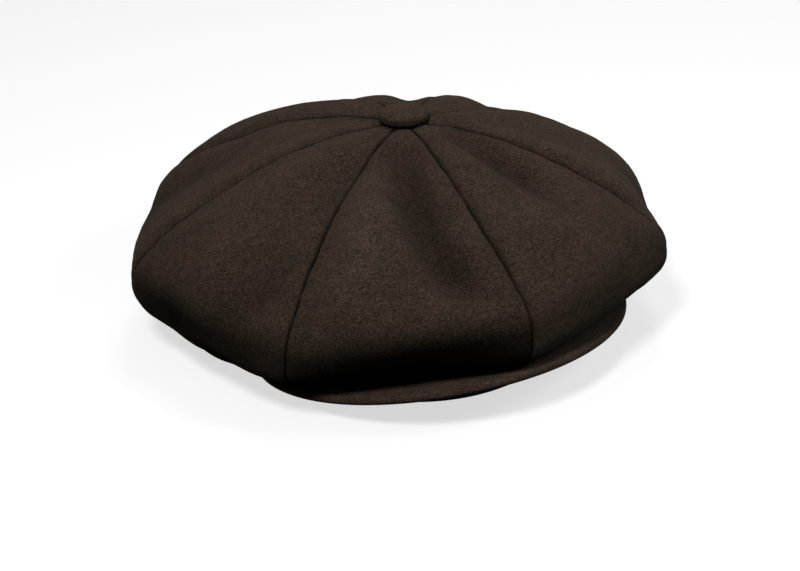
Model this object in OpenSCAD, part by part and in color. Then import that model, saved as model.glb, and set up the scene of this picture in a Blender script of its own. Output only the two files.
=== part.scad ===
// Eight-panel newsboy cap: wool gores, lining, sweatband, covered button and sewn-in visor.
// The front of the cap faces -Y, +X is the wearer's left, and the band rests on z = 0.

/* [Head opening] */
// Half-width of the head opening
head_half_w = 81; // [76:0.5:86]
// Half-length of the head opening, front to back
head_half_l = 101; // [95:0.5:106]
// Height of the sweatband
sweatband_h = 32; // [28:1:40]
// Thickness of the sweatband
sweatband_t = 1.2; // [0.8:0.1:1.4]
// Thickness of the stiffener inside the band
stiffener_t = 0.8; // [0.5:0.1:1.0]
// Height of the outer head band
headband_h = 24; // [22:1:26]
// Thickness of the outer head band
headband_t = 1.8; // [1.2:0.1:2.2]
// Free space between the layers of the band
layer_gap = 0.2; // [0.15:0.05:0.3]

/* [Crown] */
// Widest half-width of the crown, at the seams
crown_side_r = 136; // [128:1:144]
// Reach of the crown in front of the head's centre
crown_front_r = 138; // [134:1:142]
// Reach of the crown behind the head's centre
crown_back_r = 136; // [130:1:144]
// Height of the crown's widest line
rim_z = 47; // [44:1:52]
// Height of the crown's top, before the dimple at the button
top_z = 105; // [98:1:110]
// How far the crown's top leans to the wearer's left
apex_left = 7; // [0:0.5:9]
// Depth of the dimple at the button
dimple = 3; // [2:0.5:5]
// How far each panel puffs out between its seams
puff = 4; // [2:0.5:5]
// Lowest level of the crown where it hangs at the sides and back
hang_z = 12; // [10:1:16]
// Lowest level of the crown where it lies over the visor
front_hang_z = 29; // [28.5:0.5:32]
// Thickness of the wool
wool_t = 2.2; // [1.6:0.1:2.4]
// Gap left at each seam between neighbouring panels
seam_gap = 0.3; // [0.2:0.05:0.5]

/* [Lining] */
// Depth of the lining below the outside of the wool
lining_depth = 4.6; // [4.4:0.1:5.5]
// Thickness of the lining
lining_t = 0.6; // [0.4:0.1:0.8]

/* [Visor] */
// Length of the visor's middle, from the band to the edge
visor_reach = 32; // [30:1:36]
// Length of the visor at its two ends
visor_end = 13; // [10:1:16]
// Angle from the front to each end of the visor
visor_angle = 68; // [60:1:70]
// Height of the visor's middle layer at the root
visor_z = 18.5; // [17:0.5:18.5]
// How far the visor's ends hang below its middle
visor_arch = 13; // [8:0.5:14]
// Rise of the visor from root to edge, per millimetre
visor_slope = 0.15; // [0:0.01:0.16]
// Thickness of the visor's stiff board
board_t = 2.0; // [1.6:0.1:2.2]
// Thickness of the cloth on the visor
visor_cloth_t = 1.1; // [0.9:0.1:1.2]
// Space between the visor's root and the head band
visor_root_gap = 1.2; // [1.0:0.1:1.6]

/* [Button] */
// Radius of the covered button
button_r = 13; // [11:0.5:14]
// Height of the covered button
button_h = 5.6; // [4.5:0.1:6.5]

/* [Hidden] */

wool = "#3a3026";
wool_dark = "#2b241c";
satin = "#5a4a3c";
leather = "#3b2416";
buckram = "#cfc6b2";
card = "#8b7a5e";
bare_metal = "#b9bbbe";

panel_angle = 45;
panel_columns = 7;
lining_columns = 5;
oval_steps = 72;

// Radial places of the band's layers, outward from the head opening
stiffener_off = sweatband_t + layer_gap;
headband_off = stiffener_off + stiffener_t + layer_gap;
band_off = headband_off + headband_t;
hem_off = band_off + layer_gap;
hem_z = headband_h + 0.3;

// Rows of the gores: 0 is the apex, 1 the widest line, 2 the band seam
apex_row = 0.014;
lining_apex_row = 0.008;
body_rows = [
    0.05, 0.1, 0.16, 0.24, 0.36, 0.5, 0.64, 0.77, 0.89,
    1, 1.12, 1.26, 1.42, 1.6, 1.8, 2,
];
panel_rows = concat([apex_row], body_rows);
lining_rows = concat([lining_apex_row], [for (i = [1:2:len(body_rows) - 1]) body_rows[i]]);

visor_stations = 28;
// How far the visor's ends turn outward, as a share of their own angle
visor_spread = 0.8;
// Below 1 the visor's edge is squarer, above 1 more pointed
visor_fullness = 0.6;
board_half = board_t / 2;
cloth_in = board_half + 0.1;
cloth_out = cloth_in + visor_cloth_t;

apex_z = top_z - dimple;
button_base_z = apex_z + 2.4;
shank_r = 1.3;
washer_t = 0.9;
washer_top_z = apex_z - wool_t - 0.3;

// ---- shared curves ----

// Angle 0 is the front, and angles grow towards the wearer's left
function heading(a) = [sin(a), -cos(a)];
function oval_r(a, half_w, half_l) = 1 / sqrt(pow(sin(a) / half_w, 2) + pow(cos(a) / half_l, 2));
function oval_point(a, off) = oval_r(a, head_half_w + off, head_half_l + off) * heading(a);
function crown_rim_r(a) = oval_r(a, crown_side_r, cos(a) > 0 ? crown_front_r : crown_back_r);
function smooth(x) = let (c = max(0, min(1, x))) c * c * (3 - 2 * c);
function off_front(a) = abs(a > 180 ? a - 360 : a);

// 1 over the visor, 0 where the crown hangs freely
function over_visor(a) = smooth((104 - off_front(a)) / 50);
function low_z(a) = hang_z + (front_hang_z - hang_z) * over_visor(a);

function cubic(p, s) =
    pow(1 - s, 3) * p[0] + 3 * pow(1 - s, 2) * s * p[1]
    + 3 * (1 - s) * pow(s, 2) * p[2] + pow(s, 3) * p[3];

// Radius and height of the crown at its seams
function upper_rz(a, t) =
    let (r = crown_rim_r(a) * pow(sin(90 * t), 0.97))
    [r, rim_z + (top_z - rim_z) * pow(cos(90 * t), 1.3) - dimple * exp(-pow(r / 24, 2))];
function lower_rz(a, s) =
    let (
        rim = crown_rim_r(a),
        hem = oval_r(a, head_half_w + hem_off, head_half_l + hem_off),
        low = low_z(a)
    )
    cubic([
        [rim, rim_z],
        [rim + 2, low],
        [hem + 0.6 * (rim - hem), low - 0.9 * (hem_z - low)],
        [hem, hem_z],
    ], s);
function crown_rz(a, t) = t <= 1 ? upper_rz(a, t) : lower_rz(a, t - 1);

// Unit direction out of the cloth, as radial and vertical parts
function crown_out(a, t) =
    let (
        step = 0.01,
        back = crown_rz(a, max(0.004, t - step)),
        ahead = crown_rz(a, min(2, t + step)),
        run = ahead - back
    )
    [-run[1], run[0]] / norm(run);

function puff_at(a, t) =
    let (across = sin(180 * (a % panel_angle) / panel_angle))
    puff * pow(max(0, across), 0.8) * pow(sin(90 * t), 0.8);

// A point of the crown, a depth below the outside of the wool
function crown_point(a, t, depth) =
    let (
        rz = crown_rz(a, t),
        out = crown_out(a, t),
        lift = puff_at(a, t) - depth,
        lean = apex_left * (t < 1 ? 1 - pow(sin(90 * t), 0.97) : 0),
        xy = (rz[0] + lift * out[0]) * heading(a)
    )
    [xy[0] + lean, xy[1], rz[1] + lift * out[1]];

// ---- shared solids ----

// Closed solid through rings of points. Each ring runs out along one face
// and comes back along the other, so its ends close with plain strips.
module skin(rings) {
    m = len(rings[0]);
    half = m / 2;
    last = (len(rings) - 1) * m;
    walls = [
        for (j = [0:len(rings) - 2], i = [0:m - 1])
            let (k = (i + 1) % m, a = j * m + i, b = j * m + k)
            each [[a, b, b + m], [a, b + m, a + m]]
    ];
    first_cap = [
        for (i = [0:half - 2])
            each [[i + 1, i, m - 1 - i], [i + 1, m - 1 - i, m - 2 - i]]
    ];
    last_cap = [for (f = first_cap) [for (i = [2:-1:0]) last + f[i]]];
    polyhedron(points = [for (ring = rings) each ring], faces = concat(walls, first_cap, last_cap));
}

// One gore between two seams, through the given depths below the outside
module gore(index, rows, columns, depth, thickness) {
    function columns_at(t) =
        let (
            inset = (seam_gap / 2) / max(2.5, crown_rz(0, t)[0]) * 180 / PI,
            from = index * panel_angle + inset,
            span = panel_angle - 2 * inset
        )
        [for (i = [0:columns]) from + span * i / columns];
    skin([
        for (t = rows)
            let (angles = columns_at(t))
            concat(
                [for (a = angles) crown_point(a, t, depth)],
                [for (i = [columns:-1:0]) crown_point(angles[i], t, depth + thickness)]
            )
    ]);
}

module oval(off) {
    polygon([for (i = [0:oval_steps - 1]) oval_point(360 * i / oval_steps, off)]);
}

// Upright ring around the head opening
module band_ring(inner_off, thickness, from_z, to_z) {
    translate([0, 0, from_z])
        linear_extrude(to_z - from_z)
            difference() {
                oval(inner_off + thickness);
                oval(inner_off);
            }
}

// ---- crown and lining ----

module wool_panel(index) {
    color(index % 2 == 0 ? wool : wool_dark)
        gore(index, panel_rows, panel_columns, 0, wool_t);
}

module lining_gore(index) {
    color(satin)
        gore(index, lining_rows, lining_columns, lining_depth, lining_t);
}

module panel_front_left() { wool_panel(0); }
module panel_side_front_left() { wool_panel(1); }
module panel_side_back_left() { wool_panel(2); }
module panel_back_left() { wool_panel(3); }
module panel_back_right() { wool_panel(4); }
module panel_side_back_right() { wool_panel(5); }
module panel_side_front_right() { wool_panel(6); }
module panel_front_right() { wool_panel(7); }

module lining_front_left() { lining_gore(0); }
module lining_side_front_left() { lining_gore(1); }
module lining_side_back_left() { lining_gore(2); }
module lining_back_left() { lining_gore(3); }
module lining_back_right() { lining_gore(4); }
module lining_side_back_right() { lining_gore(5); }
module lining_side_front_right() { lining_gore(6); }
module lining_front_right() { lining_gore(7); }

// ---- band ----

module sweatband() {
    color(leather)
        band_ring(0, sweatband_t, 0, sweatband_h);
}

module band_stiffener() {
    color(buckram)
        band_ring(stiffener_off, stiffener_t, 1.5, sweatband_h - 2);
}

module headband() {
    color(wool_dark)
        band_ring(headband_off, headband_t, 0, headband_h);
}

// ---- visor ----

// Root and edge of the visor; u runs from -1 to 1 across it
function visor_root(u) = oval_point(u * visor_angle, band_off + visor_root_gap);
function visor_length(u) =
    visor_end + (visor_reach - visor_end) * pow(cos(90 * u), visor_fullness);
function visor_heading(u) = heading(u * visor_angle * visor_spread);

// A point of the visor: along its length, and above its middle layer
function visor_point(u, along, above) =
    let (xy = visor_root(u) + along * visor_heading(u))
    [xy[0], xy[1], visor_z - visor_arch * pow(sin(90 * u), 2) + visor_slope * along + above];

// Sweeps a section across the visor. Each section point is [share of length, extra, height].
module visor_layer(section) {
    skin([
        for (i = [0:visor_stations])
            let (u = 1 - 2 * i / visor_stations, length = visor_length(u))
            [for (p = section) visor_point(u, p[0] * length + p[1], p[2])]
    ]);
}

module visor_board() {
    color(card)
        visor_layer([
            [0, 0, board_half], [0.5, 0, board_half], [1, -2.1, board_half], [1, -1.4, 0.4],
            [1, -1.4, -0.4], [1, -2.1, -board_half], [0.5, 0, -board_half], [0, 0, -board_half],
        ]);
}

// Wraps over the board's edge and ends under it
module visor_top_cloth() {
    color(wool)
        visor_layer([
            [0, 0, cloth_out], [0.5, 0, cloth_out], [1, -1.9, cloth_out], [1, -0.6, 1.6],
            [1, 0, 0.2], [1, -0.5, -1.5], [1, -1.6, -cloth_out], [1, -3.2, -cloth_out],
            [1, -3.2, -cloth_in], [1, -2.0, -cloth_in], [1, -1.3, -0.6], [1, -1.2, 0.1],
            [1, -1.3, 0.6], [1, -2.0, cloth_in], [0.5, 0, cloth_in], [0, 0, cloth_in],
        ]);
}

module visor_under_cloth() {
    color(wool_dark)
        visor_layer([
            [0, 0, -cloth_in], [0.5, 0, -cloth_in], [1, -3.5, -cloth_in],
            [1, -3.5, -cloth_out], [0.5, 0, -cloth_out], [0, 0, -cloth_out],
        ]);
}

// ---- button ----

module at_apex(z) {
    translate([apex_left, 0, z])
        children();
}

// Half section of a dome: flat under, rounded rim, crowned top
function dome_arc(r, h) = [for (q = [0:10:90]) [r * pow(cos(q), 0.55), h * pow(sin(q), 0.9)]];

module dome_shell(r, h, thickness) {
    rotate_extrude($fn = 64)
        polygon(concat(
            [[r, 0]],
            [for (p = dome_arc(r, h)) if (p[1] > 0.01 && p[0] > 0.01) p],
            [[0, h], [0, h - thickness]],
            [for (i = [8:-1:1]) let (p = dome_arc(r - thickness, h - thickness)[i]) p],
            [[r - thickness, 0]]
        ));
}

module button_cover() {
    color(wool)
        at_apex(button_base_z)
            dome_shell(button_r, button_h, 1.5);
}

module button_shell() {
    color(bare_metal)
        at_apex(button_base_z + 0.4)
            dome_shell(button_r - 1.8, button_h - 2.3, 0.8);
}

module button_back_plate() {
    color(bare_metal)
        at_apex(button_base_z + 0.4)
            cylinder(h = 0.8, r = button_r - 3, $fn = 64);
}

module button_shank() {
    foot_z = washer_top_z - washer_t - 0.8;
    color(bare_metal)
        at_apex(0) {
            translate([0, 0, foot_z])
                cylinder(h = 0.7, r = 2.4, $fn = 32);
            translate([0, 0, foot_z + 0.35])
                cylinder(h = button_base_z + 0.4 - foot_z - 0.35, r = shank_r, $fn = 32);
        }
}

module button_washer() {
    color("black")
        at_apex(washer_top_z - washer_t)
            difference() {
                cylinder(h = washer_t, r = 7, $fn = 48);
                translate([0, 0, -1])
                    cylinder(h = washer_t + 2, r = shank_r + 0.2, $fn = 32);
            }
}

panel_front_left();
panel_side_front_left();
panel_side_back_left();
panel_back_left();
panel_back_right();
panel_side_back_right();
panel_side_front_right();
panel_front_right();
lining_front_left();
lining_side_front_left();
lining_side_back_left();
lining_back_left();
lining_back_right();
lining_side_back_right();
lining_side_front_right();
lining_front_right();
sweatband();
band_stiffener();
headband();
visor_board();
visor_top_cloth();
visor_under_cloth();
button_cover();
button_shell();
button_back_plate();
button_shank();
button_washer();
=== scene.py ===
"""Eight-panel newsboy cap in dark brown wool melton, shown on a pale floor.

The cap's front faces -Y and +X is the wearer's left. Shapes are worked out in
millimetres and turned into metres when a mesh is made. Angles go round the
cap in degrees: 0 is the front, and they grow towards the wearer's left.
"""

import math

import bpy
import numpy as np
from mathutils import Matrix, Vector


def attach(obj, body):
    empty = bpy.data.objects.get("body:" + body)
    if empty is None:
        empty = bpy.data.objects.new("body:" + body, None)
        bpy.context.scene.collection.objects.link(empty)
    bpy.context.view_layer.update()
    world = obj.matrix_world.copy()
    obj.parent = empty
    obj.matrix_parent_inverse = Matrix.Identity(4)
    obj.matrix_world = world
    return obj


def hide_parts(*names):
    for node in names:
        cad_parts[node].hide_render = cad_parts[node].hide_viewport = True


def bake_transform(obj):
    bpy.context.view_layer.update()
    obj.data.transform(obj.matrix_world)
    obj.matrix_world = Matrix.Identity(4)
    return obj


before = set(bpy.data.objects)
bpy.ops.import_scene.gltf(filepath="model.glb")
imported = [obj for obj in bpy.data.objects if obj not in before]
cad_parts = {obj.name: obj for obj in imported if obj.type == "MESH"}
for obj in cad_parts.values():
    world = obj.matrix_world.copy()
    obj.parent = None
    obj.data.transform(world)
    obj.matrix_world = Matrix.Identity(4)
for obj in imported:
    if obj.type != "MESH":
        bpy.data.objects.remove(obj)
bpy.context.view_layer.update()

MM = 0.001

# ---------------------------------------------------------------- sizes, mm

# The oval head opening, and how far outside it the band and the crown's hem lie
HEAD_HALF_W = 81
HEAD_HALF_L = 101
BAND_OFF = 4.2
HEM_OFF = 4.4
HEM_Z = 24.3

# The top of the crown, where the seams meet, and its small dip under the button
TOP_Z = 105.5
APEX = (7.5, -0.5)
DIMPLE = 3.3

# Thickness of the wool and the lining, and how deep under the wool's outside the lining lies
WOOL_T = 2.2
LINING_DEPTH = 4.0
LINING_T = 0.5
# Gap between the crown and the visor that it rests on, and between the lining and the wool there
CLEARANCE = 0.25
LINING_GAP = 0.3

# The band from the inside out: sweatband, stiffener and wool band, with a gap between them
SWEATBAND_T = 1.2
STIFFENER_T = 0.8
BAND_T = 1.8
BAND_GAP = 0.2
SWEATBAND_H = 32.0
STIFFENER_LOW = 1.5
STIFFENER_HIGH = 30.0
BAND_H = 24.0

# Each of the eight panels takes up this many degrees
PANEL_ARC = 45.0

PANEL_NAMES = [
    "front_left",
    "side_front_left",
    "side_back_left",
    "back_left",
    "back_right",
    "side_back_right",
    "side_front_right",
    "front_right",
]

# One value per seam, from the front seam round towards the wearer's left: how far out its
# widest point is, how high that is, how many degrees it turns on its way down, and how low
# the crown hangs below it
SEAM_REACH = [140, 142.5, 134, 127, 135, 136, 139.5, 133]
SEAM_RIM_Z = [48, 46, 50, 31, 39, 51, 39, 34]
SEAM_TWIST = [5, 7, 2, 1, 6, 1.5, -4.6, 0.5]
SEAM_HANG = [26, 28, 11, 12, 12, 9, 17, 19]
# One value per panel: how far its middle stands out, above and then along the widest line
PANEL_PUFF = [5, 4, 2, 2.5, 7, 1, 5, 5]
PANEL_LOW_PUFF = [-8, -10, 3, 3, 1, -4, -8.5, -4.5]
# One value per panel: how far its widest line rises between its seams
PANEL_LIFT = [0, 0, 0, 0, 0, 0, 0, 3]
# One value per panel: how soon it turns under below its widest line, from 0 to 1
PANEL_TUCK = [0, 0, 0, 0, 0, 0, 0, 1]
# One value per panel: how much painted shade darkens it below its widest line, where it turns
# under
PANEL_PAINTED_SHADE = [0.12, 0.2, 0.2, 0.2, 0.2, 0.2, 0.74, 0.9]

# The cloth dips towards a seam over one distance and turns into it over another, both in mm
SEAM_FOLDS = [(7.0, 2.4), (1.8, 2.0)]

# The visor: half the angle of its root, its length at the middle and at its ends, its height,
# how far its ends drop, how it slopes outwards, how its sides spread, how full its outline
# is, and how far it sits to one side and tilts
VISOR_ANGLE = 66
VISOR_REACH = 30.8
VISOR_END = 16.5
VISOR_Z = 19.8
VISOR_ARCH = 13.3
VISOR_SLOPE = 0.15
VISOR_SPREAD = 0.86
VISOR_FULLNESS = 0.46
VISOR_SHIFT = 4.6
VISOR_TILT = 0.045
# The visor's root lies this far outside the head opening
ROOT_OFF = BAND_OFF + 1.2

BUTTON_R = 13
BUTTON_Z = 104.2
BUTTON_DOME = 5.6
BUTTON_LIP = 1.6


# ------------------------------------------------------------ shared curves

def smooth(x):
    c = np.clip(x, 0, 1)
    return c * c * (3 - 2 * c)


def catmull(a, b, c, d, u):
    """Smooth curve from b to c as u goes from 0 to 1, with a and d as its neighbours."""
    return b + 0.5 * u * (c - a + u * (2 * a - 5 * b + 4 * c - d + u * (3 * (b - c) + d - a)))


def around(values, angle):
    """Smooth closed curve through one value per seam, at angles in degrees."""
    v = np.asarray(values, float)
    place = (np.asarray(angle, float) / PANEL_ARC) % 8
    i = np.floor(place).astype(int)
    return catmull(v[(i - 1) % 8], v[i % 8], v[(i + 1) % 8], v[(i + 2) % 8], place - i)


def oval_r(radians, half_w, half_l):
    return 1 / np.sqrt((np.sin(radians) / half_w) ** 2 + (np.cos(radians) / half_l) ** 2)


def oval_xy(degrees, off):
    a = np.radians(degrees)
    r = oval_r(a, HEAD_HALF_W + off, HEAD_HALF_L + off)
    return np.stack([r * np.sin(a), -r * np.cos(a)], -1)


def cubic(points, s):
    k = [(1 - s) ** 3, 3 * (1 - s) ** 2 * s, 3 * (1 - s) * s * s, s ** 3]
    return [sum(w * p[i] for w, p in zip(k, points)) for i in (0, 1)]


def panel_share(values, angle, power):
    """One value per panel, full in its middle and nothing at its seams."""
    place = (np.asarray(angle, float) / PANEL_ARC) % 8
    v = np.asarray(values, float)[np.floor(place).astype(int)]
    return v * np.abs(np.sin(np.pi * place)) ** power


def stray(angle, t):
    """Small uneven turn of the cloth, in degrees, so that no seam runs quite true."""
    slow = 0.09 * np.sin(34 * t + 3 * np.radians(angle))
    quick = 0.05 * np.sin(71 * t + 5 * np.radians(angle))
    return (slow + quick) * smooth(t / 0.3) * smooth((0.9 - t) / 0.3)


def crown_base(angle, t):
    """Crown surface along its seams. t is 0 at the apex, 1 at the widest line, 2 at the hem."""
    reach = around(SEAM_REACH, angle)
    rim_z = around(SEAM_RIM_Z, angle)
    twist = around(SEAM_TWIST, angle)
    low = around(SEAM_HANG, angle)
    ta = np.clip(t, 0, 1) * np.pi / 2
    s = np.clip(t - 1, 0, 1)
    share = np.sin(ta) ** 1.01
    r_up = reach * share
    c = np.cos(ta)
    rise = 0.7 * c - 0.1 * c ** 2 + 0.4 * c ** 3
    z_up = rim_z + (TOP_Z - rim_z) * rise - DIMPLE * np.exp(-((r_up / 25) ** 2))
    hem = oval_r(np.radians(angle), HEAD_HALF_W + HEM_OFF, HEAD_HALF_L + HEM_OFF)
    rim = rim_z + panel_share(PANEL_LIFT, angle, 2.0)
    tuck = panel_share(PANEL_TUCK, angle, 0.7)
    r_low, z_low = cubic(
        [
            (reach, rim),
            (reach + 3.5 - 3.5 * tuck, rim - (1 - 0.55 * tuck) * (rim - low)),
            (hem + (0.62 - 0.12 * tuck) * (reach - hem), low - 0.9 * (HEM_Z - low) * (1 - tuck)),
            (hem, HEM_Z + 0 * hem),
        ],
        s,
    )
    upper = t <= 1
    r = np.where(upper, r_up, r_low)
    z_up = z_up + panel_share(PANEL_LIFT, angle, 2.0) * smooth((t - 0.5) / 0.5)
    z = np.where(upper, z_up, z_low)
    turn = np.where(upper, np.abs(share) ** 1.2, 1 - s ** 2)
    a = np.radians(angle + twist * turn + stray(angle, t))
    lean = np.where(upper, 1 - share, 0)
    return np.stack([r * np.sin(a) + APEX[0] * lean, -r * np.cos(a) + APEX[1] * lean, z], -1)


def crown_normal(angle, t):
    """Unit direction out of the crown."""
    da, dt = 0.6, 0.006
    lo, hi = np.maximum(t - dt, 0.012), np.minimum(t + dt, 2.0)
    run = crown_base(angle, hi) - crown_base(angle, lo)
    across = crown_base(angle + da, t) - crown_base(angle - da, t)
    n = np.cross(run, across)
    return n / np.maximum(np.linalg.norm(n, axis=-1, keepdims=True), 1e-9)


# Soft folds that the cloth lies in. Each starts at an angle and t, ends at an
# angle and t, and has a half-width and a height in mm; a valley's height is negative.
FOLDS = [
    (338, 0.16, 350, 0.70, 10, -11.0),
    (327, 0.30, 327, 0.85, 13, 4.0),
    (29, 0.14, 24, 0.46, 9, -8.5),
    (128, 0.15, 129, 0.80, 13, 3.0),
    (151, 0.10, 152, 0.85, 10, -3.0),
    (49, 0.20, 50, 0.75, 7, 2.2),
    (15, 0.45, 20, 0.90, 14, 1.2),
    (310, 0.20, 308, 0.46, 7, -4.0),
    (299, 0.34, 301, 0.52, 9, -3.0),
    (305, 0.58, 302, 0.92, 12, -5.0),
    (284, 0.85, 284, 1.25, 17, -2.8),
    (248, 0.50, 246, 0.80, 12, -1.6),
    (289, 0.50, 290, 0.80, 14, 1.5),
    (266, 0.25, 265, 0.80, 6, 1.0),
    (78, 0.40, 70, 0.80, 9, 0.8),
    (100, 0.30, 96, 0.70, 12, -1.5),
    (62, 0.58, 58, 0.90, 8, -2.0),
    (112, 0.20, 120, 0.60, 12, -3.0),
    (194, 0.20, 199, 0.60, 10, -2.8),
    (243, 0.40, 246, 0.95, 20, -4.0),
]
# How much of t a fold takes to fade in and out
FOLD_FADE = 0.26
# Rough reach of the crown, which turns angles and t into distances
ARC_MM = 137


def fold_height(angle, t):
    """Height in mm that the folds add to the crown at each place."""
    total = np.zeros(np.broadcast(angle, t).shape)
    girth = np.radians(1) * ARC_MM * np.sin(np.clip(t, 0, 1) * np.pi / 2)
    for a0, t0, a1, t1, half_width, height in FOLDS:
        centre = a0 + (a1 - a0) * np.clip((t - t0) / (t1 - t0), -0.3, 1.3)
        off = ((angle - centre + 180) % 360 - 180) * girth / half_width
        along = smooth((t - t0) / FOLD_FADE + 0.5) * smooth((t1 - t) / FOLD_FADE + 0.5)
        total = total + height * np.exp(-off ** 2) * along
    return total


def ripple(points, seed, size, amount):
    """Smooth unevenness: a sum of sine waves in seeded directions."""
    rng = np.random.default_rng(seed)
    total = np.zeros(points.shape[:-1])
    for k in range(14):
        d = rng.normal(size=3)
        d /= np.linalg.norm(d)
        length = size * rng.uniform(0.6, 1.7)
        total += np.sin(points @ d * (2 * np.pi / length) + rng.uniform(0, 2 * np.pi))
    return amount * total / math.sqrt(7)


# ----------------------------------------------------------- mesh building

def make_mesh(name, points_mm, faces, material, smooth_shade=True):
    mesh = bpy.data.meshes.new(name)
    mesh.from_pydata((np.asarray(points_mm).reshape(-1, 3) * MM).tolist(), [], faces)
    mesh.validate()
    mesh.materials.append(material)
    mesh.polygons.foreach_set("use_smooth", [smooth_shade] * len(mesh.polygons))
    mesh.update()
    obj = bpy.data.objects.new(name, mesh)
    bpy.context.scene.collection.objects.link(obj)
    return obj


def loop_faces(rings, size, closed_rings=False):
    """Quads between successive closed rings of one size."""
    faces = []
    count = rings if closed_rings else rings - 1
    for j in range(count):
        a0 = j * size
        b0 = ((j + 1) % rings) * size
        for i in range(size):
            k = (i + 1) % size
            faces.append((a0 + i, a0 + k, b0 + k, b0 + i))
    return faces


def shell_faces(rows, cols):
    """Closed shell from an outer grid and an inner grid of rows x cols points each."""
    n = rows * cols
    faces = []
    for j in range(rows - 1):
        for i in range(cols - 1):
            a = j * cols + i
            faces.append((a, a + cols, a + cols + 1, a + 1))
            faces.append((n + a, n + a + 1, n + a + cols + 1, n + a + cols))
    for j in range(rows - 1):
        a, b = j * cols, j * cols + cols - 1
        faces.append((a, n + a, n + a + cols, a + cols))
        faces.append((b, b + cols, n + b + cols, n + b))
    for i in range(cols - 1):
        a, b = i, (rows - 1) * cols + i
        faces.append((a, a + 1, n + a + 1, n + a))
        faces.append((b, n + b, n + b + 1, b + 1))
    return faces


def fix_to_cap(obj, node):
    """Shows obj in place of a CAD node, on the body that doesn't move."""
    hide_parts(node)
    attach(obj, "cap")


# ---------------------------------------------------------------- materials

def srgb(r, g, b):
    def lin(c):
        c /= 255
        return c / 12.92 if c <= 0.04045 else ((c + 0.055) / 1.055) ** 2.4
    return (lin(r), lin(g), lin(b), 1.0)


class Nodes:
    """Small helper that makes and links shader nodes."""

    def __init__(self, name):
        self.material = bpy.data.materials.new(name)
        self.material.use_nodes = True
        self.tree = self.material.node_tree
        self.tree.nodes.clear()
        self.out = self.tree.nodes.new("ShaderNodeOutputMaterial")
        self.shader = self.tree.nodes.new("ShaderNodeBsdfPrincipled")
        self.link(self.shader.outputs["BSDF"], self.out.inputs["Surface"])

    def add(self, kind, **inputs):
        node = self.tree.nodes.new(kind)
        for key, value in inputs.items():
            node.inputs[key.replace("_", " ")].default_value = value
        return node

    def link(self, a, b):
        self.tree.links.new(a, b)

    def set(self, **inputs):
        for key, value in inputs.items():
            self.shader.inputs[key.replace("_", " ")].default_value = value

    def place(self):
        return self.add("ShaderNodeTexCoord").outputs["Object"]

    def noise(self, scale, detail=2.0, roughness=0.5, stretch=None):
        node = self.add("ShaderNodeTexNoise", Scale=scale, Detail=detail, Roughness=roughness)
        source = self.place()
        if stretch:
            mapping = self.add("ShaderNodeMapping")
            mapping.inputs["Scale"].default_value = stretch
            self.link(source, mapping.inputs["Vector"])
            source = mapping.outputs["Vector"]
        self.link(source, node.inputs["Vector"])
        return node.outputs["Fac"]

    def ramp(self, fac, stops):
        node = self.tree.nodes.new("ShaderNodeValToRGB")
        node.color_ramp.elements[0].position = stops[0][0]
        node.color_ramp.elements[0].color = stops[0][1]
        node.color_ramp.elements[1].position = stops[-1][0]
        node.color_ramp.elements[1].color = stops[-1][1]
        for position, colour in stops[1:-1]:
            e = node.color_ramp.elements.new(position)
            e.color = colour
        self.link(fac, node.inputs["Fac"])
        return node.outputs["Color"]

    def mix(self, fac, a, b, how="MIX"):
        node = self.tree.nodes.new("ShaderNodeMix")
        node.data_type = "RGBA"
        node.blend_type = how
        for socket, value in ((node.inputs[0], fac), (node.inputs[6], a), (node.inputs[7], b)):
            if hasattr(value, "is_output"):
                self.link(value, socket)
            else:
                socket.default_value = value
        return node.outputs[2]

    def bump(self, height, strength, distance, below=None):
        node = self.add("ShaderNodeBump", Strength=strength, Distance=distance)
        self.link(height, node.inputs["Height"])
        if below is not None:
            self.link(below, node.inputs["Normal"])
        return node.outputs["Normal"]


def grey(v):
    return (v, v, v, 1.0)


def wool_material(name, dark, light, fleck):
    """Felted wool melton: mottled brown, short nap, tiny paler fibres, darkened by painted shade
    from the 'nap' attribute.
    """
    n = Nodes(name)
    blotch = n.noise(70.0, 3.0, 0.6)
    nap = n.noise(1150.0, 3.0, 0.6)
    fibres = n.noise(2300.0, 2.0, 0.5)
    base = n.ramp(blotch, [(0.32, dark), (0.68, light)])
    clump = n.noise(330.0, 2.0, 0.5)
    nap_shade = n.ramp(nap, [(0.36, grey(0.40)), (0.64, grey(1.60))])
    clump_shade = n.ramp(clump, [(0.34, grey(0.86)), (0.66, grey(1.14))])
    body = n.mix(1.0, n.mix(1.0, base, clump_shade, "MULTIPLY"), nap_shade, "MULTIPLY")
    fleck_mask = n.ramp(fibres, [(0.66, grey(0.0)), (0.76, grey(1.0))])
    # Painted shade: the 'nap' attribute darkens the cloth in fold valleys, beside seams, under
    # the crown's rim and round the button's side; below 0, on fold ridges and the visor's top, it
    # is painted light
    painted_shade = n.tree.nodes.new("ShaderNodeAttribute")
    painted_shade.attribute_name = "nap"
    left = n.tree.nodes.new("ShaderNodeMath")
    left.operation = "SUBTRACT"
    left.inputs[0].default_value = 1.0
    n.link(painted_shade.outputs["Fac"], left.inputs[1])
    colour = n.mix(1.0, n.mix(fleck_mask, body, fleck), left.outputs["Value"], "MULTIPLY")
    n.link(colour, n.shader.inputs["Base Color"])
    n.set(Roughness=0.95, Sheen_Roughness=0.6)
    # The painted shade dims the specular and the sheen as well as the colour
    for socket, amount in (("Specular IOR Level", 0.08), ("Sheen Weight", 0.03)):
        shine = n.tree.nodes.new("ShaderNodeMath")
        shine.operation = "MULTIPLY"
        shine.inputs[1].default_value = amount
        n.link(left.outputs["Value"], shine.inputs[0])
        n.link(shine.outputs["Value"], n.shader.inputs[socket])
    n.set(Sheen_Tint=(0.80, 0.66, 0.52, 1.0))
    soft = n.bump(nap, 0.45, 0.0004)
    fine = n.bump(fibres, 0.3, 0.0002, soft)
    n.link(fine, n.shader.inputs["Normal"])
    return n.material


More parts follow.
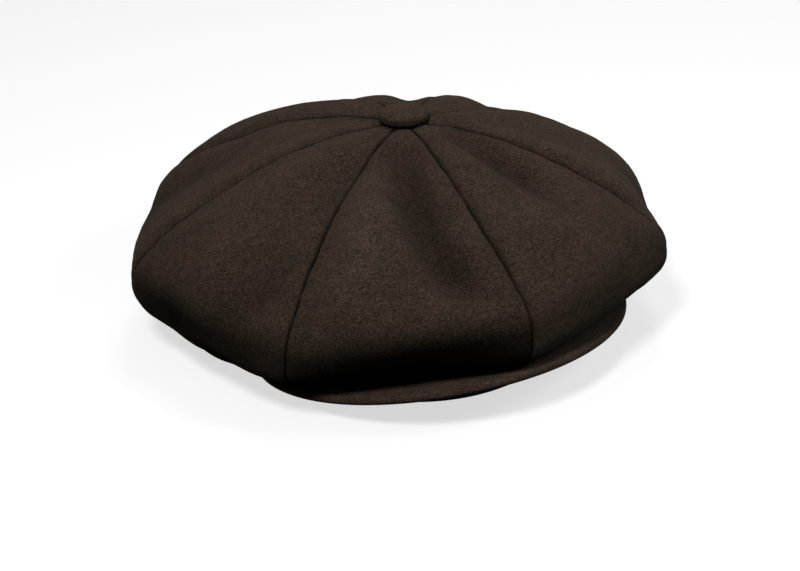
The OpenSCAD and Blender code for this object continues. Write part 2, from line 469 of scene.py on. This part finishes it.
def satin_material():
    """Plain lining satin."""
    n = Nodes("lining_satin")
    weave = n.noise(900.0, 2.0, 0.5, stretch=(1.0, 1.0, 0.2))
    colour = n.ramp(weave, [(0.3, srgb(52, 40, 32)), (0.7, srgb(66, 52, 42))])
    n.link(colour, n.shader.inputs["Base Color"])
    n.set(Roughness=0.42, Specular_IOR_Level=0.45, Sheen_Weight=0.1)
    n.link(n.bump(weave, 0.15, 0.0002), n.shader.inputs["Normal"])
    return n.material


def leather_material():
    """Smooth brown sweatband leather with a fine grain."""
    n = Nodes("sweatband_leather")
    cells = n.add("ShaderNodeTexVoronoi", Scale=1400.0)
    n.link(n.place(), cells.inputs["Vector"])
    tone = n.noise(60.0, 3.0, 0.5)
    colour = n.ramp(tone, [(0.3, srgb(58, 34, 20)), (0.75, srgb(82, 50, 30))])
    n.link(colour, n.shader.inputs["Base Color"])
    n.set(Roughness=0.5, Specular_IOR_Level=0.4)
    n.link(n.bump(cells.outputs["Distance"], 0.25, 0.0002), n.shader.inputs["Normal"])
    return n.material


def plain_material(name, colour, roughness, metallic=0.0, grain=400.0):
    n = Nodes(name)
    shade = n.noise(grain, 3.0, 0.6)
    mixed = n.mix(shade, tuple(c * 0.85 for c in colour[:3]) + (1.0,), colour)
    n.link(mixed, n.shader.inputs["Base Color"])
    n.set(Roughness=roughness, Metallic=metallic)
    n.link(n.bump(shade, 0.2, 0.0002), n.shader.inputs["Normal"])
    return n.material


WOOL = wool_material("wool_melton", srgb(38, 32, 24), srgb(46.5, 36, 29), srgb(104, 92, 78))
SATIN = satin_material()
LEATHER = leather_material()
BUCKRAM = plain_material("buckram", srgb(205, 197, 176), 0.9, grain=1500.0)
BOARD = plain_material("board", srgb(139, 122, 94), 0.85)
METAL = plain_material("button_metal", srgb(180, 182, 186), 0.35, metallic=1.0, grain=900.0)
WASHER = plain_material("washer_plastic", srgb(24, 24, 25), 0.45)


# ------------------------------------------------------------ settling cloth

SETTLE_COLS = 120
SETTLE_ROWS = 46
SETTLE_FRAMES = 36
# The coarse grid's first t, and how much of t it covers
SETTLE_FIRST = 0.06
SETTLE_SPAN = 1.94
# The cloth may move this far, in mm
SETTLE_MOST = 3.0


def settle_grid():
    angle = np.arange(SETTLE_COLS) * 360.0 / SETTLE_COLS
    t = SETTLE_FIRST + SETTLE_SPAN * np.linspace(0, 1, SETTLE_ROWS)
    return np.meshgrid(t, angle, indexing="ij")


def puff_height(angle, t):
    """How far the panels stand out between their seams."""
    u = (angle / PANEL_ARC) % 1
    which = np.floor((angle / PANEL_ARC) % 8).astype(int)
    across = np.sin(np.pi * u) ** 0.7 * np.abs(np.sin(t * np.pi / 2)) ** 0.8
    low = smooth((t - 0.42) / 0.52)
    high_puff = np.asarray(PANEL_PUFF, float)[which]
    low_puff = np.asarray(PANEL_LOW_PUFF, float)[which]
    return across * (high_puff * (1 - low) + low_puff * low)


def puff_way(normal, t):
    """Panels puff along their normal, and below the widest line straight outwards."""
    level = normal * np.array([1, 1, 0])
    level = level / np.maximum(np.linalg.norm(level, axis=-1, keepdims=True), 1e-6)
    share = smooth((t - 0.6) / 0.35)[..., None]
    return normal * (1 - share) + level * share


def settle():
    """Lets the whole crown settle as cloth. Returns how far it moved, in mm, on a coarse grid."""
    t, angle = settle_grid()
    way = puff_way(crown_normal(angle, t), t)
    start = crown_base(angle, t) + way * puff_height(angle, t)[..., None]
    rows, cols = SETTLE_ROWS, SETTLE_COLS
    faces = loop_faces(rows, cols)
    cloth = make_mesh("settling_crown", start, faces, WOOL)
    group = cloth.vertex_groups.new(name="held")
    on_seam = np.abs((angle / PANEL_ARC + 0.5) % 1 - 0.5) * PANEL_ARC < 2.0
    hold = np.where(on_seam, 0.6, 0.0)
    hold[0] = 1.0
    hold[-1] = 1.0
    hold[-2] = 0.9
    for index, weight in enumerate(hold.reshape(-1)):
        if weight > 0:
            group.add([index], float(weight), "REPLACE")
    modifier = cloth.modifiers.new("cloth", "CLOTH")
    c = modifier.settings
    c.quality = 8
    c.mass = 0.0008
    c.tension_stiffness = 30
    c.compression_stiffness = 30
    c.shear_stiffness = 12
    c.bending_stiffness = 8.0
    c.tension_damping = 20
    c.compression_damping = 20
    c.shear_damping = 20
    c.bending_damping = 2
    c.air_damping = 6
    c.vertex_group_mass = "held"
    c.pin_stiffness = 1.0
    c.shrink_min = -0.012
    c.shrink_max = -0.012
    c.use_pressure = True
    c.uniform_pressure_force = 0.6
    modifier.collision_settings.use_collision = False
    modifier.point_cache.frame_start = 1
    modifier.point_cache.frame_end = SETTLE_FRAMES
    scene = bpy.context.scene
    for f in range(1, SETTLE_FRAMES + 1):
        scene.frame_set(f)
    graph = bpy.context.evaluated_depsgraph_get()
    shape = cloth.evaluated_get(graph).to_mesh()
    ends = np.empty(len(shape.vertices) * 3)
    shape.vertices.foreach_get("co", ends)
    scene.frame_set(1)
    bpy.data.objects.remove(cloth)
    moved = ends.reshape(rows, cols, 3) / MM - start
    # Smooth out what the coarse grid can't show
    for _ in range(3):
        sides = (np.roll(moved, 1, 1) + np.roll(moved, -1, 1)) / 2
        ends_kept = np.concatenate([moved[:1], (moved[2:] + moved[:-2]) / 2, moved[-1:]])
        moved = moved * 0.4 + sides * 0.3 + ends_kept * 0.3
    size = np.linalg.norm(moved, axis=-1, keepdims=True)
    return moved * np.minimum(1, SETTLE_MOST / np.maximum(size, 1e-6))


MOVED = settle()


def settled(angle, t):
    """Movement of the settled cloth at any place on the crown, in mm."""
    col = (angle % 360) / 360 * SETTLE_COLS
    row = np.clip((t - SETTLE_FIRST) / SETTLE_SPAN, 0, 1) * (SETTLE_ROWS - 1)
    i = np.floor(col).astype(int)
    j = np.minimum(np.floor(row).astype(int), SETTLE_ROWS - 2)
    u, v = (col - i)[..., None], (row - j)[..., None]

    def line(k):
        jj = np.clip(j + k, 0, SETTLE_ROWS - 1)
        p = [MOVED[jj, (i + m) % SETTLE_COLS] for m in (-1, 0, 1, 2)]
        return catmull(*p, u)

    still = smooth((1.12 - t) / 0.4)[..., None]
    return catmull(line(-1), line(0), line(1), line(2), v) * still


# -------------------------------------------------------------------- visor

def visor_root(u):
    return oval_xy(u * VISOR_ANGLE, ROOT_OFF) + np.array([VISOR_SHIFT, 0])


def visor_length(u):
    return VISOR_END + (VISOR_REACH - VISOR_END) * np.cos(np.pi / 2 * u) ** VISOR_FULLNESS


def visor_heading(u):
    """Direction in which the visor runs out from its root, in radians from the front."""
    return np.radians(u * VISOR_ANGLE * VISOR_SPREAD)


def visor_level(u, along, x):
    """Height of the visor's middle layer, mm."""
    z = VISOR_Z - VISOR_ARCH * np.sin(np.pi / 2 * u) ** 2 + VISOR_SLOPE * along
    return z + VISOR_TILT * x


def visor_point(u, along, above):
    """A point of the visor. u runs from -1 to 1 across it.

    The others are mm from its root, and mm above its middle layer.
    """
    h = visor_heading(u)
    xy = visor_root(u) + along[..., None] * np.stack([np.sin(h), -np.cos(h)], -1)
    z = visor_level(u, along, xy[..., 0]) + above
    return np.concatenate([xy, z[..., None]], -1)


# Half the thickness of the finished visor, and of its board
VISOR_HALF = 2.2
BOARD_HALF = 1.0
VISOR_STATIONS = 200


def visor_stations():
    most = np.pi / 2 * 0.995
    return np.sin(np.linspace(-1, 1, VISOR_STATIONS) * most) / math.sin(most)


def visor_layer(name, section, material):
    """Sweeps a closed section across the visor.

    Section points are (share of the visor's length, mm added to that, height).
    """
    u = visor_stations()
    length = visor_length(u)
    pts = [visor_point(u, s[0] * length + s[1], np.full_like(u, s[2])) for s in section]
    pts = np.stack(pts, 1)
    m = len(section)
    faces = loop_faces(len(u), m)
    faces.append(tuple(range(m)))
    faces.append(tuple((len(u) - 1) * m + i for i in reversed(range(m))))
    return make_mesh(name, pts, faces, material)


def arc(cx, cz, rx, rz, start, end, steps):
    """Section points on part of an ellipse centred cx mm from the visor's edge."""
    a = np.radians(np.linspace(start, end, steps))
    return [(1.0, cx + rx * math.cos(q), cz + rz * math.sin(q)) for q in a]


def flat_run(height, first, last, steps):
    """Section points along the visor, as shares of its length."""
    return [(s, 0.0, height) for s in np.linspace(first, last, steps)]


def paint_light_and_shade(obj, values):
    """Stores painted shade at each point in the 'nap' attribute, for the wool to darken by. Below
    0 it is painted light, and the wool is paler.
    """
    painted_shade = obj.data.attributes.new("nap", "FLOAT", "POINT")
    painted_shade.data.foreach_set("value", values)


def finish_visor_piece(obj, node):
    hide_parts(node)
    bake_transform(obj)


def build_visor():
    # The top cloth rolls round the edge and meets the under cloth in a seam at this height
    split = -0.7
    out = VISOR_HALF
    inner = BOARD_HALF + 0.1
    top = flat_run(out, 0.0, 0.86, 18)
    top += arc(-out, 0, out, out, 88, -16, 14)
    top += [(1.0, -0.55, split - 0.25), (1.0, -1.1, split - 0.2)]
    top += arc(-out, 0, inner, inner, -20, 88, 8)
    top += flat_run(inner, 0.86, 0.0, 8)
    top_cloth = visor_layer("visor_top_wool", top, WOOL)
    under = flat_run(-out, 0.0, 0.86, 10)
    under += arc(-out - 0.25, 0, out, out, -88, -24, 8)
    under += [(1.0, -0.9, split - 0.35), (1.0, -1.3, split - 0.4)]
    under += arc(-out, 0, inner, inner, -40, -88, 6)
    under += flat_run(-inner, 0.86, 0.0, 6)
    under_cloth = visor_layer("visor_under_wool", list(reversed(under)), WOOL)
    board = flat_run(BOARD_HALF, 0.0, 0.86, 8)
    board += arc(-out, 0, BOARD_HALF, BOARD_HALF, 88, -88, 9)
    board += flat_run(-BOARD_HALF, 0.86, 0.0, 8)
    visor_board = visor_layer("visor_stiff_board", board, BOARD)
    # Painted light: the visor's whole top cloth is made a little paler, against the shade the
    # crown casts on it
    paint_light_and_shade(top_cloth, np.full(len(top_cloth.data.vertices), -0.14))
    finish_visor_piece(top_cloth, "visor_top_cloth")
    finish_visor_piece(under_cloth, "visor_under_cloth")
    finish_visor_piece(visor_board, "visor_board")


# -------------------------------------------------------------------- crown

# Points across and down each gore of wool and of lining; rows above and below the widest line
PANEL_COLS = 81
PANEL_ROWS = (120, 80)
LINING_COLS = 33
LINING_ROWS = (50, 39)


def panel_columns():
    """Places across a panel, closer together beside its seams."""
    x = np.linspace(0, 1, PANEL_COLS)
    return x - 0.82 * np.sin(2 * np.pi * x) / (2 * np.pi)


def gore_rows(first, above, below):
    """Values of t from the first one, near the apex, down to the hem."""
    upper = first + (1 - first) * np.linspace(0, 1, above)
    lower = 1 + np.linspace(0, 1, below + 1)[1:]
    return np.concatenate([upper, lower])


def gore(name, outer, inner, material, node):
    """Closed shell between an outer and an inner layer of points."""
    points = np.concatenate([outer.reshape(-1, 3), inner.reshape(-1, 3)])
    obj = make_mesh(name, points, shell_faces(*outer.shape[:2]), material)
    fix_to_cap(obj, node)
    return obj


def seam_distance(angle, t):
    """Distance in mm to the nearest seam."""
    u = (angle / PANEL_ARC) % 1
    reach = np.linalg.norm(crown_base(angle, t)[..., :2], axis=-1)
    return np.minimum(u, 1 - u) * np.radians(PANEL_ARC) * reach


def seam_grip(angle, t):
    """How tightly each seam draws the cloth in: uneven along it, about 1 on average."""
    seam = np.round(np.asarray(angle, float) / PANEL_ARC) % 8
    along = t * ARC_MM
    waves = 0
    for length, shift in ((1.7, 2.1), (4.3, 1.3), (9.0, 1.0)):
        waves = waves + np.sin(along / length + shift * seam)
    return 1 + 0.12 * waves * smooth((0.9 - t) / 0.3)


def seam_groove(angle, t):
    """Depth of the fold beside a seam, mm below the panel's own surface."""
    mm_off = seam_distance(angle, t)
    total = 0
    for width, depth in SEAM_FOLDS:
        x = np.clip(mm_off / width, 0, 1)
        total = total + depth * (1 - np.sqrt(np.maximum(0, 1 - (1 - x) ** 2)))
    return total * seam_grip(angle, t) * (0.15 + 0.85 * smooth((t - 0.04) / 0.3))


def visor_top_height(points):
    """Height of the visor's top under each point, or far below it all beyond the visor."""
    root = np.arctan2(points[..., 0], -points[..., 1])
    u = np.clip(np.degrees(root) / (VISOR_ANGLE * 0.93), -1, 1)
    # Find which part of the root each point lies straight out from
    for _ in range(6):
        start = visor_root(u)
        h = visor_heading(u)
        d = points[..., :2] - start
        side = d[..., 0] * np.cos(h) + d[..., 1] * np.sin(h)
        u = np.clip(u + side / 95.0, -1, 1)
    start = visor_root(u)
    h = visor_heading(u)
    d = points[..., :2] - start
    along = d[..., 0] * np.sin(h) - d[..., 1] * np.cos(h)
    side = d[..., 0] * np.cos(h) + d[..., 1] * np.sin(h)
    length = visor_length(u)
    inside = (np.abs(side) < 4) & (along > -2) & (along < length + 0.5)
    z = visor_level(u, along, points[..., 0]) + VISOR_HALF
    edge = np.clip((along - (length - VISOR_HALF)) / VISOR_HALF, 0, 1)
    z = z - VISOR_HALF * (1 - np.sqrt(np.maximum(0, 1 - edge ** 2)))
    return np.where(inside, z, -1e9)


def crown_skin(angle, t, puffed, inward, grooved):
    """Points of a layer of the crown, inward mm below the outside of the wool."""
    base = crown_base(angle, t)
    normal = crown_normal(angle, t)
    height = fold_height(angle, t) - inward
    if grooved:
        height = height - seam_groove(angle, t) * grooved
    fade = smooth(t / 0.12) * smooth((2 - t) / 0.15)
    height = height + (ripple(base, 3, 46.0, 0.35) + ripple(base, 5, 9.0, 0.05)) * fade
    puff = puff_height(angle, t) * puffed
    skin = base + normal * height[..., None] + puff_way(normal, t) * puff[..., None]
    return skin + settled(angle, t)


def rest_on_visor(points, clearance):
    """Lifts what would be inside the visor onto its top."""
    floor = visor_top_height(points) + clearance
    lifted = points.copy()
    lifted[..., 2] = np.maximum(points[..., 2], floor)
    return lifted


def crown_painted_shade(angle, t):
    """Painted shade, from 0 to 1, at seams, in fold valleys and under the rim; on fold ridges it
    goes below 0, which is painted light.
    """
    mm_off = seam_distance(angle, t)
    drawn = np.clip(seam_grip(angle, t) * 1.6 - 0.6, 0, 1.6)
    # Painted shade in the seam grooves: a thin dark line and a wider soft band
    at_seam = 0.45 * drawn * np.exp(-(mm_off / 0.8) ** 2)
    at_seam = at_seam + 0.12 * np.exp(-(mm_off / 5.0) ** 2)
    # Painted shade where the crown turns under below its widest line
    under = panel_share(PANEL_PAINTED_SHADE, angle, 0.16) * smooth((t - 0.77) / 0.25)
    return np.clip(at_seam + under - 0.043 * fold_height(angle, t), -0.2, 0.93)


def build_panels():
    rows = gore_rows(0.03, *PANEL_ROWS)
    for index, place in enumerate(PANEL_NAMES):
        across = np.clip(panel_columns(), 1e-4, 1 - 1e-4)
        t, a = np.meshgrid(rows, (index + across) * PANEL_ARC, indexing="ij")
        outer = rest_on_visor(crown_skin(a, t, 1.0, 0.0, 1.0), CLEARANCE)
        inner = rest_on_visor(crown_skin(a, t, 0.9, WOOL_T, 0.25), CLEARANCE + WOOL_T)
        panel = gore("crown_" + place, outer, inner, WOOL, "panel_" + place)
        # Painted shade and light on both faces of the panel
        paint_light_and_shade(panel, np.tile(crown_painted_shade(a, t).reshape(-1), 2))


def build_lining():
    rows = gore_rows(0.02, *LINING_ROWS)
    for index, place in enumerate(PANEL_NAMES):
        across = np.linspace(1e-4, 1 - 1e-4, LINING_COLS)
        t, a = np.meshgrid(rows, (index + across) * PANEL_ARC, indexing="ij")
        outer = crown_skin(a, t, 0.75, LINING_DEPTH, 0.3)
        inner = crown_skin(a, t, 0.75, LINING_DEPTH + LINING_T, 0.3)
        lift = CLEARANCE + WOOL_T + LINING_GAP
        outer = rest_on_visor(outer, lift)
        inner = rest_on_visor(inner, lift + LINING_T)
        satin = gore("satin_" + place, outer, inner, SATIN, "lining_" + place)


# --------------------------------------------------------------------- band

def ring_piece(name, section, material, node, steps=360):
    """Sweeps a closed section, of points (mm outward, height), round the head opening."""
    angle = np.arange(steps) * 360.0 / steps
    pts = []
    for off, z in section:
        xy = oval_xy(angle, off)
        pts.append(np.concatenate([xy, np.full((steps, 1), z)], -1))
    pts = np.stack(pts, 1)
    obj = make_mesh(name, pts, loop_faces(steps, len(section), closed_rings=True), material)
    fix_to_cap(obj, node)
    return obj


def strip_section(inner, thickness, low, high, steps=14):
    """Upright strip with both edges rounded."""
    r = thickness / 2
    mid = inner + r
    half_turn = np.radians(np.linspace(180, 0, 9))
    down = [(mid - r * math.cos(q), low + r - r * math.sin(q)) for q in half_turn]
    up = [(mid + r * math.cos(q), high - r + r * math.sin(q)) for q in half_turn]
    left = [(inner, z) for z in np.linspace(low + r, high - r, steps)[1:-1]]
    right = [(inner + thickness, z) for z in np.linspace(high - r, low + r, steps)[1:-1]]
    return down + left + up + right


def build_band():
    inside_stiffener = SWEATBAND_T + BAND_GAP
    inside_wool = inside_stiffener + STIFFENER_T + BAND_GAP
    wool_strip = strip_section(inside_wool, BAND_T, 0.0, BAND_H)
    leather_strip = strip_section(0.0, SWEATBAND_T, 0.0, SWEATBAND_H)
    buckram_strip = strip_section(inside_stiffener, STIFFENER_T, STIFFENER_LOW, STIFFENER_HIGH)
    wool = ring_piece("headband_wool", wool_strip, WOOL, "headband")
    ring_piece("sweatband_leather", leather_strip, LEATHER, "sweatband")
    ring_piece("band_buckram", buckram_strip, BUCKRAM, "band_stiffener")


# ------------------------------------------------------------------- button

def build_button():
    steps, rings = 96, 30
    pts = []
    arc_angle = np.linspace(-24, 90, rings)
    for q in np.radians(arc_angle):
        if q > 0:
            r = BUTTON_R * max(0.0, math.cos(q)) ** 0.6
            z = BUTTON_DOME * math.sin(q)
        else:
            r = BUTTON_R * math.cos(q * 1.6)
            z = BUTTON_LIP * math.sin(q)
        ring = np.arange(steps) * 2 * np.pi / steps
        x = APEX[0] + r * np.cos(ring)
        y = APEX[1] + r * np.sin(ring)
        pts.append(np.stack([x, y, np.full(steps, BUTTON_Z + z)], -1))
    pts = np.array(pts)
    faces = [tuple(reversed(f)) for f in loop_faces(rings, steps)]
    faces.append(tuple(range(steps)))
    button = make_mesh("button_wool_cover", pts, faces, WOOL)
    # Painted shade, darkest at the button's lower rim and fading up its side, with a little
    # painted light on its top
    paint_light_and_shade(button, np.repeat(0.7 * smooth((46 - arc_angle) / 50) - 0.06, steps))
    fix_to_cap(button, "button_cover")
    for node, material, slot_name in (
        ("button_shell", METAL, "button_metal"),
        ("button_back_plate", METAL, "button_metal"),
        ("button_shank", METAL, "button_metal"),
        ("button_washer", WASHER, "washer_plastic"),
    ):
        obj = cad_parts[node]
        obj.data.materials.clear()
        obj.data.materials.append(material)


# -------------------------------------------------------------------- stage

def build_stage():
    n = Nodes("pale_floor")
    n.set(Base_Color=grey(0.30), Roughness=0.9)
    n.set(Emission_Color=grey(1.0), Emission_Strength=0.66)
    floor = make_mesh(
        "floor", [(-4000, -4000, 0), (4000, -4000, 0), (4000, 4000, 0), (-4000, 4000, 0)],
        [(0, 1, 2, 3)], n.material, smooth_shade=False,
    )
    # Just under the band, which stands on it
    floor.location.z = -0.0002
    # The cap is meant to look lit from above only, so the floor gives back little light
    floor.visible_diffuse = False
    floor.visible_glossy = False


CAP_MIDDLE = Vector((0, 0, 0.05))


def add_light(name, where, size, power):
    """Round softbox aimed at the middle of the cap."""
    data = bpy.data.lights.new(name, "AREA")
    data.shape = "DISK"
    data.size = size
    data.energy = power
    obj = bpy.data.objects.new(name, data)
    obj.location = where
    obj.rotation_mode = "QUATERNION"
    obj.rotation_quaternion = (CAP_MIDDLE - Vector(where)).to_track_quat("-Z", "Y")
    bpy.context.scene.collection.objects.link(obj)


def build_world():
    """Soft light from above, and almost none from below."""
    world = bpy.data.worlds.new("studio")
    bpy.context.scene.world = world
    world.use_nodes = True
    tree = world.node_tree
    place = tree.nodes.new("ShaderNodeTexCoord")
    split = tree.nodes.new("ShaderNodeSeparateXYZ")
    ramp = tree.nodes.new("ShaderNodeValToRGB")
    ramp.color_ramp.elements[0].position = 0.0
    ramp.color_ramp.elements[0].color = grey(0.25)
    ramp.color_ramp.elements[1].position = 0.95
    ramp.color_ramp.elements[1].color = grey(1.0)
    for position, level in ((0.12, 0.02), (0.35, 0.05)):
        ramp.color_ramp.elements.new(position).color = grey(level)
    tree.links.new(place.outputs["Generated"], split.inputs["Vector"])
    tree.links.new(split.outputs["Z"], ramp.inputs["Fac"])
    tree.links.new(ramp.outputs["Color"], tree.nodes["Background"].inputs["Color"])
    tree.nodes["Background"].inputs["Strength"].default_value = 0.3


def build_lights():
    add_light("key_softbox", (-0.47, -0.55, 1.02), 0.28, 12.8)
    add_light("top_softbox", (0.30, 0.45, 1.15), 0.4, 4.5)
    add_light("right_fill", (0.80, -0.54, 0.80), 0.4, 5.2)
    build_world()


def build_camera():
    azimuth = math.radians(-20.4)
    elevation = math.radians(27.7)
    roll = math.radians(-2.9)
    distance = 0.8
    target = Vector((-0.0083, -0.025, 0.0235))
    back = Vector((
        math.sin(azimuth) * math.cos(elevation),
        -math.cos(azimuth) * math.cos(elevation),
        math.sin(elevation),
    ))
    right = Vector((math.cos(azimuth), math.sin(azimuth), 0))
    up = back.cross(right)
    right_rolled = right * math.cos(roll) + up * math.sin(roll)
    up_rolled = up * math.cos(roll) - right * math.sin(roll)
    data = bpy.data.cameras.new("camera")
    data.lens = 70.2
    data.clip_start = 0.01
    camera = bpy.data.objects.new("camera", data)
    bpy.context.scene.collection.objects.link(camera)
    turn = Matrix((right_rolled, up_rolled, back)).transposed().to_4x4()
    camera.matrix_world = Matrix.Translation(target + back * distance) @ turn
    bpy.context.scene.camera = camera


build_band()
build_lining()
build_panels()
build_visor()
build_button()
build_stage()
build_lights()
build_camera()
bpy.context.scene.view_settings.view_transform = "Standard"
bpy.context.scene.view_settings.look = "None"
